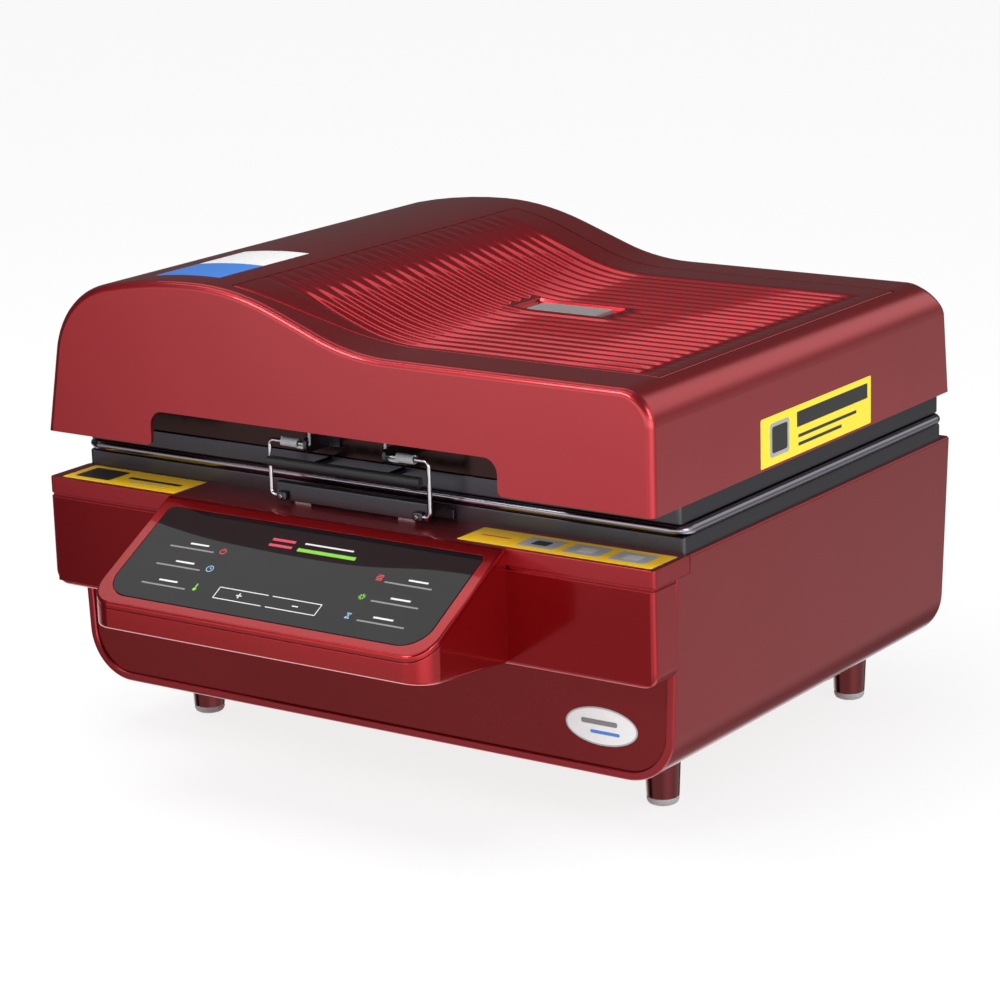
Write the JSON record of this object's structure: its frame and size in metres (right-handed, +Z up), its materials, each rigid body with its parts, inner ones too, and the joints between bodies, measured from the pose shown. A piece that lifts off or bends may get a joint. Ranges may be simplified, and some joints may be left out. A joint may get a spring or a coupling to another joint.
{
  "type": "3d vacuum sublimation heat press",
  "caption": "Benchtop vacuum sublimation heat press with a latched heated lid, membrane frame, work well and sloped touch console.",
  "frame": {"origin": "on the floor, under the middle of the whole machine", "axes": "+Z up, +X to the operator's right, -Y towards the operator"},
  "size_m": [0.581, 0.5814, 0.396],
  "materials": {
    "red_wrap": "metallic red gloss paint",
    "red_hood": "metallic red gloss lacquer",
    "red_panel": "metallic red gloss lacquer over ribs",
    "dark_front": "dark maroon gloss paint",
    "console_red": "red gloss lacquer",
    "black_glass": "black touch panel, gloss",
    "black_frame": "black satin paint",
    "steel_sheet": "plain sheet",
    "chrome_wire": "bright plated",
    "foot_red": "metallic red gloss paint",
    "foot_grey": "light grey",
    "seal_red": "silicone",
    "membrane": "translucent silicone",
    "bed_alloy": "satin",
    "board": "circuit board",
    "black_plastic": "fine texture",
    "blanket": "fibre blanket",
    "quartz": "frosted quartz",
    "badge_metal": "brushed",
    "motor_grey": "grey paint"
  },
  "bodies": {
    "base": {"base_wrap": "red_wrap", "base_front_panel": "dark_front", "base_rear_panel": "red_wrap", "deck_cap": "red_wrap", "ledge_cover": "dark_front", "console_housing": "console_red", "console_glass": "black_glass", "console_board": "board", "foot_posts": "foot_red", "foot_tips": "foot_grey", "foot_bolts": "steel_sheet", "tray_frame": "black_frame", "well_seal": "seal_red", "well_liner": "steel_sheet", "vacuum_bed": "bed_alloy", "vacuum_pump": "motor_grey", "pump_saddle": "steel_sheet", "suction_hose": "seal_red", "solenoid_valve": "motor_grey", "power_board": "board", "mains_inlet": "black_plastic", "switch_frame": "black_plastic", "cooling_fan_frame": "black_plastic", "cooling_fan_guard": "chrome_wire", "cooling_fan_bolts": "chrome_wire", "catch_blocks": "steel_sheet", "lower_hinge_leaves": "steel_sheet", "hinge_pins": "chrome_wire"},
    "membrane_carrier": {"membrane_frame": "black_frame", "membrane": "membrane", "clamp_ring": "steel_sheet", "clamp_screws": "steel_sheet"},
    "lid": {"lid_frame": "black_frame", "heater_box": "steel_sheet", "insulation": "blanket", "reflector": "bed_alloy", "heating_tubes": "quartz", "tube_holders": "steel_sheet", "fan_motor": "motor_grey", "temperature_probe": "steel_sheet", "hood_shell": "red_hood", "ribbed_panel": "red_panel", "badge_plate": "badge_metal", "hood_brackets": "steel_sheet", "upper_hinge_leaves": "steel_sheet", "handle_bar": "black_frame", "handle_posts": "chrome_wire", "latch_lugs": "steel_sheet", "latch_springs": "chrome_wire"},
    "latch": {"latch_wires": "chrome_wire", "hook_plate": "chrome_wire", "latch_clips": "chrome_wire", "latch_screws": "chrome_wire"},
    "rocker": {"switch_rocker": "black_plastic"},
    "cooling_rotor": {"cooling_fan_rotor": "black_plastic"},
    "circulation_rotor": {"fan_impeller": "bed_alloy"}
  },
  "joints": [
    {"name": "lid_hinge", "type": "hinge", "parent": "base", "child": "lid", "pos_m": [0, 0.28475, 0.2396], "axis": [-1, 0, 0], "range_deg": [0, 75]},
    {"name": "membrane_hinge", "type": "hinge", "parent": "base", "child": "membrane_carrier", "pos_m": [0, 0.28475, 0.2396], "axis": [-1, 0, 0], "range_deg": [0, 37.5]},
    {"name": "latch_swing", "type": "hinge", "parent": "lid", "child": "latch", "pos_m": [0, -0.16145, 0.2726], "axis": [-1, 0, 0], "range_deg": [0, 75]},
    {"name": "mains_rocker", "type": "hinge", "parent": "base", "child": "rocker", "pos_m": [0.146, 0.27325, 0.096], "axis": [1, 0, 0], "range_deg": [0, 18]},
    {"name": "cooling_fan_spin", "type": "hinge", "parent": "base", "child": "cooling_rotor", "pos_m": [-0.17, 0.26725, 0.122], "axis": [0, 1, 0], "continuous": true},
    {"name": "circulation_fan_spin", "type": "hinge", "parent": "lid", "child": "circulation_rotor", "pos_m": [-0.13, 0.05825, 0.32], "axis": [0, 0, 1], "continuous": true}
  ],
  "couplings": [
    {"joint": "membrane_hinge", "follows": "lid_hinge", "ratio": 0.5}
  ]
}
